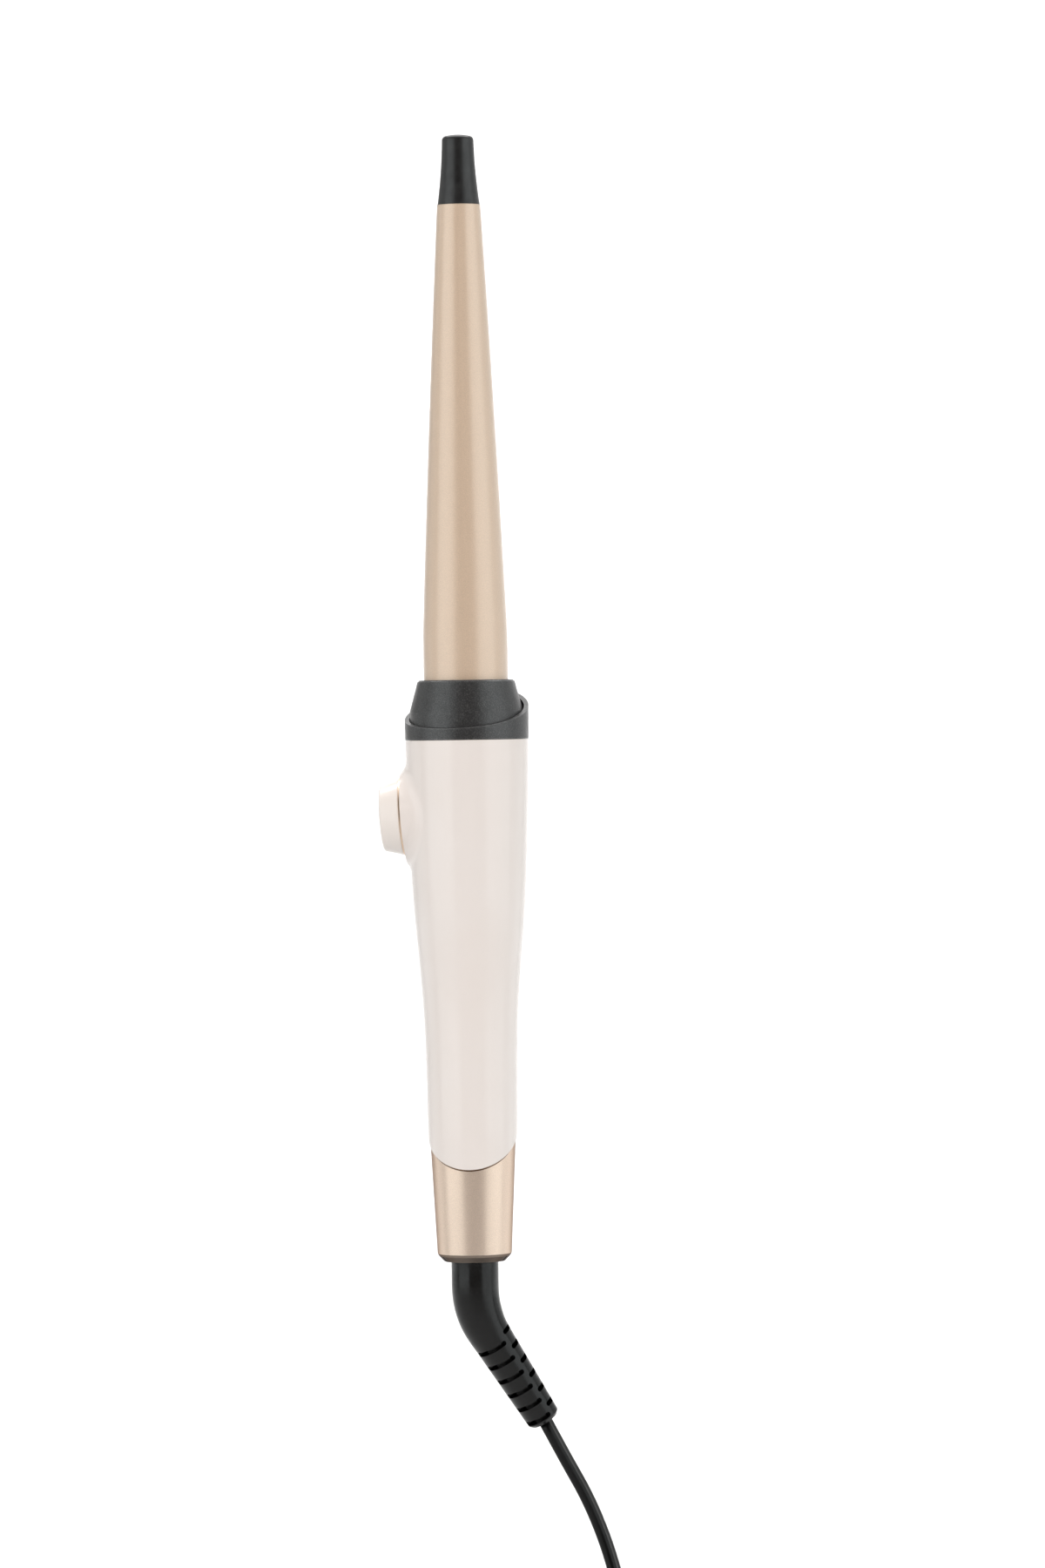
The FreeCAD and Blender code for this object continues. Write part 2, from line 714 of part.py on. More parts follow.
def make_swivel():
    """The turning spindle with its slip rings, and the fixed bush and brush block round it."""
    lowered(turned("spindle", [
        ("spindle_bore", "-6"),
        ("spindle_radius", "-6"),
        ("spindle_radius", "boot_top + 0.5"),
        ("8.6", "boot_top + 0.5"),
        ("8.6", "boot_top + 2.2"),
        ("spindle_radius", "boot_top + 2.2"),
        ("spindle_radius", "spindle_top"),
        ("spindle_bore", "spindle_top"),
    ]), "swivel_spindle")
    lowered(turned("bush", [
        ("spindle_radius + bush_clearance", "4.9"),
        ("9.2", "4.9"),
        ("9.2", "12"),
        ("spindle_radius + bush_clearance", "12"),
    ]), "swivel_bush")
    rings = []
    for index, foot in enumerate((14, 18)):
        outer = cylinder("slip_outer_%d" % index, "5.6", "2", ("0", "0", str(foot)))
        inner = cylinder("slip_inner_%d" % index, "spindle_radius + 0.02", "4", ("0", "0", str(foot - 1)))
        rings.append(cut("slip_ring_%d" % index, outer, inner))
    lowered(joined("slip_rings", *rings), "slip_rings")
    case = cylinder("brush_case", "9.2", "11.9", ("0", "0", "12.1"))
    case_bore = cylinder("brush_bore", "6.4", "11", ("0", "0", "12"))
    case_hole = cylinder("brush_hole", "5", "14", ("0", "0", "12"))
    lowered(cut("brush_housing", case, case_bore, case_hole), "brush_block")
    brushes = [
        block("brush_0", ("5.7", "-1", "14.4"), ("0.58", "2", "1.2")),
        block("brush_1", ("-6.28", "-1", "18.4"), ("0.58", "2", "1.2")),
    ]
    lowered(joined("brushes", *brushes), "brushes")


def boot_station(distance):
    """The boot's centre and heading at a distance down from its top."""
    straight = size("boot_top + boot_straight")
    bend = size("boot_bend")
    whole = math.radians(size("boot_turn"))
    turn = min(max((distance - straight) / bend, 0), whole)
    tail = max(distance - straight - bend * whole, 0)
    x = bend * (1 - math.cos(turn)) + tail * math.sin(turn)
    height = size("boot_top") - min(distance, straight) - bend * math.sin(turn) - tail * math.cos(turn)
    return Vector(x, 0, height), Vector(math.sin(turn), 0, -math.cos(turn))


def boot_length():
    bend = size("boot_bend") * math.radians(size("boot_turn"))
    return size("boot_top + boot_straight + boot_tail") + bend


def boot_radius(distance):
    """Full thickness down to the bend, then a smooth taper to the end."""
    length = boot_length()
    slots = length - size("slot_pitch") * 5.9
    straight = size("boot_top + boot_straight")
    if distance <= straight:
        return size("boot_radius")
    if distance <= slots:
        share = (distance - straight) / (slots - straight)
        return size("boot_radius") + (size("boot_slot_radius") - size("boot_radius")) * share * share
    share = (distance - slots) / (length - slots)
    return size("boot_slot_radius") + (size("boot_end_radius") - size("boot_slot_radius")) * share


def flex_slot(distance, middle, sweep):
    """The tool for one flex slot: a sector of a ring square to the boot's line, round at both ends."""
    centre, heading = boot_station(distance)
    outer = boot_radius(distance) + 1.5
    inner = boot_radius(distance) - size("slot_depth")
    half_width = size("slot_width") / 2
    first, last = [
        Rotation(heading, middle + turn).multVec(Vector(0, -1, 0)) for turn in (-sweep / 2, sweep / 2)
    ]
    low = centre - heading * half_width
    corners = [low + first * inner, low + first * outer]
    corners += [corners[1] + heading * 2 * half_width, corners[0] + heading * 2 * half_width, corners[0]]
    tool = Part.Face(Part.makePolygon(corners)).revolve(centre, heading, sweep)
    for outward in (first, last):
        end = Part.makeCylinder(half_width, outer - inner, centre + outward * inner, outward)
        tool = tool.fuse(end)
    return tool


def make_boot():
    """The pre-bent boot: a lofted tapering body with staggered long and short flex slots."""
    length = boot_length()
    steps = 16
    inset = 0.9
    rings = []
    for index in range(steps + 1):
        distance = (length - inset) * index / steps
        centre, heading = boot_station(distance)
        rings.append(round_section(centre, heading, boot_radius(distance)))
    body = Part.makeLoft(rings, True, False)
    end, heading = boot_station(length)
    nose_root = end - heading * inset
    nose = Part.makeCone(boot_radius(length - inset), boot_radius(length) - 0.75, inset, nose_root, heading)
    body = body.fuse(nose)
    tools = []
    for index in range(6):
        long_place = length - size("slot_first") - size("slot_pitch") * index
        short_place = long_place - size("slot_pitch") / 2
        for opposite in (0, 180):
            long_middle = size("long_slot_middle") + opposite
            short_middle = size("short_slot_middle") + opposite
            tools.append(flex_slot(long_place, long_middle, size("long_slot_sweep")))
            tools.append(flex_slot(short_place, short_middle, size("short_slot_sweep")))
    body = body.cut(tools)
    bore = Part.makeCylinder(size("spindle_radius") + 0.02, 10, Vector(0, 0, -6.02))
    boot = body.cut(bore)
    boot.rotate(Vector(0, 0, 0), Vector(0, 0, 1), size("boot_heading"))
    lowered(shaped("boot", boot), "cord_boot")


# ---- cord -------------------------------------------------------------------------------------

CORD_ROUTE = [  # from the boot's end down to the coil on the surface, x, y, height
    (19.19, 9.36, -48.2), (25.3, 12.3, -60.6), (31.9, 14.3, -73.0), (37.9, 15.0, -89.0),
    (42.5, 10.5, -107.0), (46.0, 3.0, -124.0), (47.8, -3.5, -141.0), (48.4, -1.5, -158.5),
    (48.9, 9.3, -173.0), (49.2, 25.2, -180.8), (49.4, 41.6, -182.1),
]
TAIL_ROUTE = [  # off the coil's top, round over it and into the plug's sleeve
    (40.8, 16.6, -176.8), (45.8, 30.4, -176.0), (43.9, 45.0, -173.0), (35.5, 57.0, -169.5),
    (22.4, 63.8, -167.5), (8.0, 63.8, -167.15),
]


def make_cord():
    """The free stretch of flat cord, the coil's outer form, the short tail and the tie."""
    width = size("cord_width")
    thickness = size("cord_thickness")
    area = math.pi * thickness * thickness / 4 + (width - thickness) * thickness
    for name, route, wide in (
        ("cord_run", CORD_ROUTE, Vector(0.25, 1, 0.15)),
        ("cord_tail", TAIL_ROUTE, Vector(0, 0, 1)),
    ):
        points = [Vector(*point) for point in route]
        section = flat_section(points[0], points[1] - points[0], width, thickness, wide)
        shape, length, radii = tube(points, section)
        print(name, "length %.1f" % length, "volume/section*length %.4f" % (shape.Volume / (area * length)))
        print(name, "radii", ["%.1f" % radius for radius in radii])
        lowered(shaped(name, shape), name)
    height = size("coil_depth")
    foot = Vector(size("coil_x"), size("coil_y"), -size("surface_drop"))
    outer = Part.makeCylinder(size("coil_outer"), height, foot)
    outer = outer.makeFillet(1.6, outer.Edges[0:1] + outer.Edges[2:3])
    inner = Part.makeCylinder(size("coil_inner"), height, foot)
    lowered(shaped("coil", outer.cut(inner)), "cord_coil")
    middle = (size("coil_inner") + size("coil_outer")) / 2
    reach = size("coil_outer") - size("coil_inner")
    outside = Part.makeBox(reach + 2.4, 8, height + 1.3, foot + Vector(-middle - reach / 2 - 1.2, -4, 0))
    inside = Part.makeBox(reach + 0.4, 9, height + 0.1, foot + Vector(-middle - reach / 2 - 0.2, -4.5, 0))
    lowered(shaped("tie", outside.cut(inside)), "coil_tie")


def make_plug():
    """A flat two-pin plug lying on the coil, its pins along -X."""
    width = size("plug_width")
    height = size("plug_height")
    length = size("plug_length")
    y = TAIL_ROUTE[-1][1]
    level = -size("surface_drop") + size("coil_depth") + size("plug_gap") + height / 2
    nose = -size("plug_reach")

    def flat_ring(x, wide, tall, corner):
        box = Part.makeBox(1, wide, tall, Vector(x, y - wide / 2, level - tall / 2))
        edges = [edge for edge in box.Edges if abs(edge.tangentAt(edge.FirstParameter).x) > 0.9]
        face = box.makeFillet(corner, edges).Faces
        ring = min(face, key=lambda item: item.CenterOfMass.x)
        return ring.OuterWire

    face_x = nose + size("pin_length")
    rings = [
        flat_ring(face_x, width - 2, height - 2, 5.2),
        flat_ring(face_x + 2, width, height, 6.0),
        flat_ring(face_x + length * 0.45, width - 1.5, height, 6.0),
        flat_ring(face_x + length * 0.8, width * 0.52, height - 1.6, 5.0),
        flat_ring(face_x + length, 11.0, 9.0, 4.0),
    ]
    flats = Part.makeBox(2 * length, 2 * width, height, Vector(nose, y - width, level - height / 2))
    lowered(shaped("plug", Part.makeLoft(rings, True, False).common(flats)), "plug_body")
    tail = Vector(*TAIL_ROUTE[-1])
    root = Vector(face_x + length, y, level)
    sleeve = Part.makeLoft([
        round_section(root, tail - root, 4.0),
        round_section(tail, tail - root, 3.0),
    ], True)
    lowered(shaped("sleeve", sleeve), "plug_sleeve")
    pins = []
    for side in (-1, 1):
        foot = Vector(nose, y + side * size("pin_spacing") / 2, level)
        pin = Part.makeCylinder(size("pin_radius"), size("pin_length"), foot, Vector(1, 0, 0))
        tips = [edge for edge in pin.Edges if edge.BoundBox.XMax < nose + 0.1]
        pins.append(pin.makeFillet(0.9, tips))
    lowered(shaped("pins", Part.makeCompound(pins)), "plug_pins")


make_barrel()
make_tip()
make_heater()
make_collar()
make_shells()
make_cuff()
make_dial()
make_board()
make_leads()
make_swivel()
make_boot()
make_cord()
make_plug()
doc.recompute()

failed = [obj.Name for obj in doc.Objects if "Invalid" in obj.State or "Error" in obj.State]
if failed:
    raise SystemExit("failed objects: " + ", ".join(failed))
for label, obj in NODES.items():
    if obj.Shape.isNull() or not obj.Shape.isValid() or not obj.Shape.Solids:
        raise SystemExit("bad shape: " + label)
os.makedirs("parts", exist_ok=True)
for label, obj in NODES.items():
    obj.Shape.exportStep("parts/%s.step" % label)
print(len(NODES), "nodes")
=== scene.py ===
import json
import math

import bmesh
import bpy
from mathutils import Matrix, Vector


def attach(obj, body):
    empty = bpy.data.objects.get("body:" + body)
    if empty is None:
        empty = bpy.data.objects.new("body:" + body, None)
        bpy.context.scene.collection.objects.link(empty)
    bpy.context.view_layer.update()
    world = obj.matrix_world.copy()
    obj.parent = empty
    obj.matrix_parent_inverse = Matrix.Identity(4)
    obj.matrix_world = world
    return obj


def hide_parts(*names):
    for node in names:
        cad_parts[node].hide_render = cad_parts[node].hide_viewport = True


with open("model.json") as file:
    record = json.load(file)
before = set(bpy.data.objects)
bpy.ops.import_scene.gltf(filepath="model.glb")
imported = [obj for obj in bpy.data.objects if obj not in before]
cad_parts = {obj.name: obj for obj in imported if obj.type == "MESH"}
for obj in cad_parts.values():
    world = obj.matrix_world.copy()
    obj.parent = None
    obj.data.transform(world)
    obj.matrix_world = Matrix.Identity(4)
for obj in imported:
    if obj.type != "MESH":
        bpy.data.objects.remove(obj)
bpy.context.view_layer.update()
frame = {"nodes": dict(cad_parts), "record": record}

# A curling wand held upright: metres, +Z along the barrel to its tip, -Y the front, the dial on -X.
MM = 0.001
GRIP = 0.084                      # height of the origin above the cuff's end
SURFACE = -0.185 - GRIP           # height of the surface that the coil lies on


def at(x, y, height):
    """A point given in millimetres, with its height above the cuff's end."""
    return Vector((x * MM, y * MM, height * MM - GRIP))


def added(name, data):
    """A new object in the scene that shows this data."""
    thing = bpy.data.objects.new(name, data)
    bpy.context.scene.collection.objects.link(thing)
    return thing


def added_mesh(name, mesh, smooth=False):
    """Turns a finished bmesh into an object in the scene."""
    data = bpy.data.meshes.new(name)
    mesh.to_mesh(data)
    mesh.free()
    for face in data.polygons:
        face.use_smooth = smooth
    return added(name, data)


def bridge(mesh, rings):
    """Joins each ring of vertices to the next one with a band of faces."""
    for first, second in zip(rings, rings[1:]):
        for index in range(len(first)):
            following = (index + 1) % len(first)
            mesh.faces.new((first[index], first[following], second[following], second[index]))


# ---- camera -----------------------------------------------------------------------------------

CAMERA_AROUND = math.radians(5.0)     # round towards the wand's right
CAMERA_ABOVE = math.radians(0.68)     # almost level
CAMERA_ROLL = math.radians(-0.88)
CAMERA_DISTANCE = 2.18
AIM_HEIGHT = 141.2                    # of the picture's middle above the cuff's end, in millimetres
AIM_ASIDE = 0.0163                    # of the picture's middle from the wand's axis
FOCAL_LENGTH, SENSOR_WIDTH = 168.8, 36


def make_camera():
    """Looks at a point a little to the right of the wand's axis, through a long lens."""
    aside = Vector((math.cos(CAMERA_AROUND), math.sin(CAMERA_AROUND), 0))
    aim = at(0, 0, AIM_HEIGHT) + aside * AIM_ASIDE
    back = Vector((
        math.sin(CAMERA_AROUND) * math.cos(CAMERA_ABOVE),
        -math.cos(CAMERA_AROUND) * math.cos(CAMERA_ABOVE),
        math.sin(CAMERA_ABOVE),
    ))
    data = bpy.data.cameras.new("camera")
    data.lens = FOCAL_LENGTH
    data.sensor_width = SENSOR_WIDTH
    camera = added("camera", data)
    camera.location = aim + back * CAMERA_DISTANCE
    facing = (-back).to_track_quat("-Z", "Y").to_matrix().to_4x4()
    camera.rotation_euler = (facing @ Matrix.Rotation(CAMERA_ROLL, 4, "Z")).to_euler()
    bpy.context.scene.camera = camera


make_camera()

# ---- cord -------------------------------------------------------------------------------------

CORD_WIDTH = 5.4                      # across the flat cord, in millimetres
CORD_THICKNESS = 3.4
SECTION_POINTS = 28
GROOVE_DEPTH, GROOVE_WIDTH = 0.34, 0.75
GROOVE_FREE = 0.4                     # this near the section's long axis there is no groove
PARTING = 2.2                         # how soon the two round sides are fully apart
CORD_ROUTE = [  # from the boot's end down to the coil on the surface, x, y, height in millimetres
    (19.19, 9.36, -48.2), (25.3, 12.3, -60.6), (31.9, 14.3, -73.0), (37.9, 15.0, -89.0),
    (42.5, 10.5, -107.0), (46.0, 3.0, -124.0), (47.8, -3.5, -141.0), (48.4, -1.5, -158.5),
    (48.9, 9.3, -173.0), (49.2, 25.2, -180.8),
]
TAIL_ROUTE = [  # off the coil's top, round over it and into the plug's sleeve
    (45.8, 30.4, -176.0), (43.9, 45.0, -173.0), (35.5, 57.0, -169.5),
    (22.4, 63.8, -167.5), (8.0, 63.8, -167.15),
]
COIL_X, COIL_Y = 9.0, 36.0
COIL_INNER, COIL_OUTER = 24.1, 40.3   # centrelines of the innermost and outermost turns
COIL_TOP_OUTER = 36.5                 # the upper layer ends a turn short
COIL_LEVELS = (-182.28, -176.95)      # lower and upper layer, the cord on edge
LOWER_TURNS = 4.5
UPPER_TURNS = 3.44
POINTS_PER_TURN = 16
START_WIDE = Vector((0.25, 1, 0.15))  # where the section's width points at the boot
HANGING_SAMPLES = 30                  # the cord keeps its first twist over these
STEEP = 0.75                          # and wherever more than this of its direction is vertical
SETTLING = 0.14                       # share of the rest of the way on edge that each sample turns


def coil_points():
    """Winds inward on the lower layer, steps up, then winds outward on the upper one."""
    points = []
    angle = 0.0
    for turns, first, last, level in (
        (LOWER_TURNS, COIL_OUTER, COIL_INNER, COIL_LEVELS[0]),
        (UPPER_TURNS, COIL_INNER, COIL_TOP_OUTER, COIL_LEVELS[1]),
    ):
        steps = round(turns * POINTS_PER_TURN)
        for step in range(1, steps + 1):
            angle += 2 * math.pi / POINTS_PER_TURN
            radius = first + (last - first) * step / steps
            x = COIL_X + radius * math.cos(angle)
            y = COIL_Y + radius * math.sin(angle)
            points.append((x, y, level))
    return points


def nurbs_line(points):
    """The points of the smooth NURBS curve through a route's control points, in metres."""
    curve = bpy.data.curves.new("route", "CURVE")
    curve.dimensions = "3D"
    curve.resolution_u = 6
    spline = curve.splines.new("NURBS")
    spline.points.add(len(points) - 1)
    for target, point in zip(spline.points, points):
        target.co = (*at(*point), 1)
    spline.order_u = 3
    spline.use_endpoint_u = True
    holder = added("route", curve)
    mesh = bpy.data.meshes.new_from_object(holder)
    line = [vertex.co.copy() for vertex in mesh.vertices]
    bpy.data.objects.remove(holder)
    bpy.data.meshes.remove(mesh)
    bpy.data.curves.remove(curve)
    return line


def flat_cord_section():
    """Across a two-core cord: two round cores with a shallow groove between them on each face."""
    half = CORD_THICKNESS / 2
    reach = (CORD_WIDTH - CORD_THICKNESS) / 2
    section = []
    for index in range(SECTION_POINTS):
        angle = 2 * math.pi * index / SECTION_POINTS
        sideways = math.cos(angle)
        x = half * sideways + math.copysign(reach, sideways) * min(1, abs(sideways) * PARTING)
        y = half * math.sin(angle)
        if abs(y) > GROOVE_FREE:
            y -= math.copysign(GROOVE_DEPTH * math.exp(-(x / GROOVE_WIDTH) ** 2), y)
        section.append((x * MM, y * MM))
    return section


def settled(wide, ahead, index):
    """Once the cord lies level it turns on edge, little by little, as a wound flat cord does."""
    if abs(ahead.z) > STEEP or index < HANGING_SAMPLES:
        return wide
    upright = (Vector((0, 0, 1)) - ahead * ahead.z).normalized()
    if upright.dot(wide) < 0:
        upright = -upright
    return wide.lerp(upright, SETTLING).normalized()


def swept(name, line, section, wide):
    """A closed tube: the section carried along the line, its ends capped."""
    mesh = bmesh.new()
    rings = []
    for index, point in enumerate(line):
        ahead = line[min(index + 1, len(line) - 1)] - line[max(index - 1, 0)]
        ahead.normalize()
        wide = settled((wide - ahead * wide.dot(ahead)).normalized(), ahead, index)
        over = ahead.cross(wide)
        rings.append([mesh.verts.new(point + wide * x + over * y) for x, y in section])
    bridge(mesh, rings)
    mesh.faces.new(list(reversed(rings[0])))
    mesh.faces.new(rings[-1])
    bmesh.ops.recalc_face_normals(mesh, faces=mesh.faces)
    return added_mesh(name, mesh, smooth=True)


def make_cord():
    """The whole cord in one piece, from the boot round the coil to the plug's sleeve."""
    line = nurbs_line(CORD_ROUTE + coil_points() + TAIL_ROUTE)
    cord = swept("flat_cord", line, flat_cord_section(), START_WIDE)
    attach(cord, "swivel")
    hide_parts("cord_run", "cord_coil", "cord_tail")
    return cord


def soften_tie():
    """Rounds the edges and folds of the strap round the coil."""
    tie = frame["nodes"]["coil_tie"]
    weld = tie.modifiers.new("joined", "WELD")
    weld.merge_threshold = 0.01 * MM
    bevel = tie.modifiers.new("rounded", "BEVEL")
    bevel.width = 0.5 * MM
    bevel.segments = 4
    bevel.limit_method = "ANGLE"


cord = make_cord()
soften_tie()

# ---- dial -------------------------------------------------------------------------------------

DIAL_SEAM = at(-19.5, 0, 132.0)       # the middle of the seam between the trim ring and the dial
DIAL_TILT = math.radians(3.5)         # the dial looks this far downward
SKIRT_OUTLINE = [  # radius and distance out from the seam, in millimetres
    (11.0, 0.4), (11.3, 0.4), (11.3, 0.12), (11.24, 0.06), (10.8, 0.06), (10.7, 0.12),
]
SKIRT_STEPS = 144


def make_dial_skirt():
    """A moulded lip that carries the dial's rim down to a hair above the trim ring."""
    outward = Vector((-math.cos(DIAL_TILT), 0, -math.sin(DIAL_TILT)))
    across = Vector((0, 1, 0))
    up = Vector((-math.sin(DIAL_TILT), 0, math.cos(DIAL_TILT)))
    mesh = bmesh.new()
    rings = []
    for index in range(SKIRT_STEPS):
        angle = 2 * math.pi * index / SKIRT_STEPS
        spoke = across * math.sin(angle) + up * math.cos(angle)
        rings.append([
            mesh.verts.new(DIAL_SEAM + (outward * out + spoke * radius) * MM)
            for radius, out in SKIRT_OUTLINE
        ])
    bridge(mesh, rings + rings[:1])
    bmesh.ops.recalc_face_normals(mesh, faces=mesh.faces)
    skirt = added_mesh("dial_skirt", mesh)
    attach(skirt, "dial")
    return skirt


dial_skirt = make_dial_skirt()

# ---- materials --------------------------------------------------------------------------------

CUFF_JOINT_HEIGHT = 37.0              # of the cuff's slanted top edge at the axis, in millimetres
CUFF_JOINT_SLOPE = math.radians(37.5)
# brown along the champagne rims: rubbed edges, and painted shade at the seams
RIM_WEAR_AND_SHADE_BROWN = (0.30, 0.19, 0.12)
# painted shade in the gap where the shell meets the cuff
JOINT_SHADE_BROWN = (0.16, 0.085, 0.045)
FLAKE_LIGHTER = 1.14                  # the flakes against the coating's colour
DOWNWARD_SHADE_DARKER = 0.17               # painted shade on faces that look downward, against it


class Surface:
    """A Principled material with small helpers for procedural detail."""

    def __init__(self, name, color, roughness, metallic=0.0, **sockets):
        self.material = bpy.data.materials.new(name)
        self.material.use_nodes = True
        self.tree = self.material.node_tree
        self.shader = self.tree.nodes["Principled BSDF"]
        self.roughness = roughness
        self.relief = None
        sockets |= {"Base Color": (*color, 1), "Roughness": roughness, "Metallic": metallic}
        for socket, value in sockets.items():
            self.shader.inputs[socket.replace("_", " ")].default_value = value
        coordinates = self.node("TexCoord")
        self.place = coordinates.outputs["Object"]
        self.facing = coordinates.outputs["Normal"]

    def node(self, kind, inputs=None, **settings):
        """A new shader node; each of its inputs is a plain value or the socket that feeds it."""
        node = self.tree.nodes.new("ShaderNode" + kind)
        for setting, value in settings.items():
            setattr(node, setting, value)
        for socket, value in (inputs or {}).items():
            if isinstance(value, bpy.types.NodeSocket):
                self.tree.links.new(value, node.inputs[socket])
            else:
                node.inputs[socket].default_value = value
        return node

    def noise(self, scale, detail=3.0, stretch=None):
        """Noise that repeats about this often to a metre; stretch scales the axes first."""
        place = self.place
        if stretch:
            place = self.node("Mapping", {"Vector": place, "Scale": stretch}).outputs["Vector"]
        noise = self.node("TexNoise", {"Vector": place, "Scale": scale, "Detail": detail})
        return noise.outputs["Fac"]

    def spread(self, value, low, high, start=0.3, stop=0.7):
        """Takes start to low and stop to high, and holds both ends."""
        node = self.node("MapRange", {
            "Value": value, "From Min": start, "From Max": stop, "To Min": low, "To Max": high,
        })
        return node.outputs["Result"]

    def product(self, first, second):
        """The dot product of two vectors."""
        node = self.node("VectorMath", {0: first, 1: second}, operation="DOT_PRODUCT")
        return node.outputs["Value"]

    def tint(self, factor, other):
        """Mixes another colour over what the base colour already is."""
        base = self.shader.inputs["Base Color"]
        under = base.links[0].from_socket if base.links else base.default_value
        mix = self.node("Mix", {"Factor": factor, "A": under, "B": (*other, 1)}, data_type="RGBA")
        self.tree.links.new(mix.outputs["Result"], base)

    def vary_color(self, value, other, start=0.35, stop=0.65):
        """Shifts the colour towards another where the value is high."""
        self.tint(self.spread(value, 0, 1, start, stop), other)

    def edge_wear_and_painted_light(self, other, amount, width=0.4 * MM):
        """Shifts the colour on edges, broken up by noise: rubbed edges, painted highlight and
        painted shade; a bevelled normal finds them.
        """
        bevel = self.node("Bevel", {"Radius": width}, samples=4)
        flat = self.node("NewGeometry").outputs["Normal"]
        turned = self.product(bevel.outputs["Normal"], flat)
        edge = self.spread(turned, amount, 0, start=0.85, stop=0.98)
        patches = self.spread(self.noise(900, 4), 0.2, 1)
        broken = self.node("Math", {0: edge, 1: patches}, operation="MULTIPLY")
        self.tint(broken.outputs["Value"], other)

    def painted_shade_below(self, other):
        """Painted shade: faces that look downward, such as a chamfer, are shifted to a darker
        colour.
        """
        parts = self.node("SeparateXYZ", {"Vector": self.facing})
        self.tint(self.spread(parts.outputs["Z"], 1, 0, start=-0.6, stop=-0.3), other)

    def shade_line_below(self, height, slope, width, other):
        """Painted shade: a dark line just below a plane that slopes down towards the front, at the
        joint's gap, and all that is above it.
        """
        normal = (0, -math.sin(slope), math.cos(slope))
        edge = at(0, 0, height).z * normal[2] - width
        soft = width * 0.3
        level = self.product(self.place, normal)
        self.tint(self.spread(level, 0, 1, start=edge - soft, stop=edge), other)

    def vary_roughness(self, value, amount):
        """Lets the roughness swing by this amount to both sides."""
        rough = self.spread(value, self.roughness - amount, self.roughness + amount)
        self.tree.links.new(rough, self.shader.inputs["Roughness"])

    def bump(self, value, depth, strength=1.0):
        """Adds relief of this depth, in metres, over what relief there is."""
        inputs = {"Height": value, "Distance": depth, "Strength": strength}
        if self.relief is not None:
            inputs["Normal"] = self.relief
        self.relief = self.node("Bump", inputs).outputs["Normal"]
        self.tree.links.new(self.relief, self.shader.inputs["Normal"])


def scaled(color, factor):
    """A colour made lighter or darker by this factor."""
    return tuple(part * factor for part in color)


def champagne(name, color, metallic, roughness, grain, coat, rim_wear_and_shade, grazing=(1, 1, 1), joint=None):
    """Fine metallic coating: tiny bright flakes under a thin clear layer, browner at the rims where
    rubbed and as painted shade; downward faces and a joint get painted shade.
    """
    surface = Surface(
        name, color, roughness, metallic, Coat_Weight=coat, Coat_Roughness=0.3, Coat_IOR=1.85,
        Specular_Tint=(*grazing, 1),
    )
    flakes = surface.noise(5200, 2)
    surface.vary_color(flakes, scaled(color, FLAKE_LIGHTER), start=0.4, stop=0.62)
    # browner rims: rubbed edges, and painted shade at the seams
    surface.edge_wear_and_painted_light(RIM_WEAR_AND_SHADE_BROWN, rim_wear_and_shade, 0.6 * MM)
    # painted shade on faces that look downward, such as the chamfer
    surface.painted_shade_below(scaled(color, DOWNWARD_SHADE_DARKER))
    # painted shade: a dark line in the gap where the shell meets the cuff
    if joint:
        surface.shade_line_below(*joint, 0.3 * MM, JOINT_SHADE_BROWN)
    surface.vary_roughness(surface.noise(2400, 3), 0.03)
    surface.bump(flakes, grain)
    return surface.material


def charcoal():
    """Dark moulded plastic with a fine spark in it, lighter along its edges as a painted highlight.
    """
    surface = Surface("charcoal_plastic", (0.015, 0.015, 0.0155), 0.35, 0.1, Specular_IOR_Level=1.0)
    surface.vary_color(surface.noise(3600, 2), (0.065, 0.065, 0.066), start=0.48, stop=0.68)
    # lighter edges: a painted highlight along the rims
    surface.edge_wear_and_painted_light((0.22, 0.22, 0.22), 0.8, 0.7 * MM)
    surface.vary_roughness(surface.noise(420, 3), 0.05)
    surface.bump(surface.noise(2200, 3), 0.00006, 0.8)
    return surface.material


def tip_black():
    """Black moulded plastic that takes heat."""
    surface = Surface("tip_plastic", (0.006, 0.006, 0.0063), 0.36, Specular_IOR_Level=0.7)
    surface.vary_color(surface.noise(300, 4), (0.014, 0.014, 0.0145))
    surface.edge_wear_and_painted_light((0.05, 0.05, 0.05), 0.5)
    surface.vary_roughness(surface.noise(520, 3), 0.06)
    surface.bump(surface.noise(3200, 3), 0.00003, 0.5)
    return surface.material


def glossy_shell(name, color, other, roughness, rim):
    """Glossy cream plastic; rim is the colour along its edges, a painted shade at its seams."""
    surface = Surface(name, color, roughness, Coat_Weight=0.3, Coat_Roughness=0.12)
    surface.vary_color(surface.noise(34, 3), other)
    # darker tan along edges and seams: painted shade
    surface.edge_wear_and_painted_light(rim, 0.8, 0.3 * MM)
    surface.vary_roughness(surface.noise(180, 4), 0.03)
    surface.bump(surface.noise(2400, 2), 0.000006, 0.3)
    return surface.material


def rubber(name, level, roughness, gloss):
    """Black rubber or soft plastic; level is how light its black is."""
    surface = Surface(name, (level, level, level * 1.03), roughness, Specular_IOR_Level=gloss)
    surface.vary_color(surface.noise(240, 4), (level * 1.7, level * 1.7, level * 1.75))
    # lighter edges: rubbed, and a painted highlight along lips and rims
    surface.edge_wear_and_painted_light((level * 4, level * 4, level * 4.1), 0.5)
    surface.vary_roughness(surface.noise(650, 3), 0.05)
    surface.bump(surface.noise(1800, 3), 0.00001, 0.5)
    return surface.material


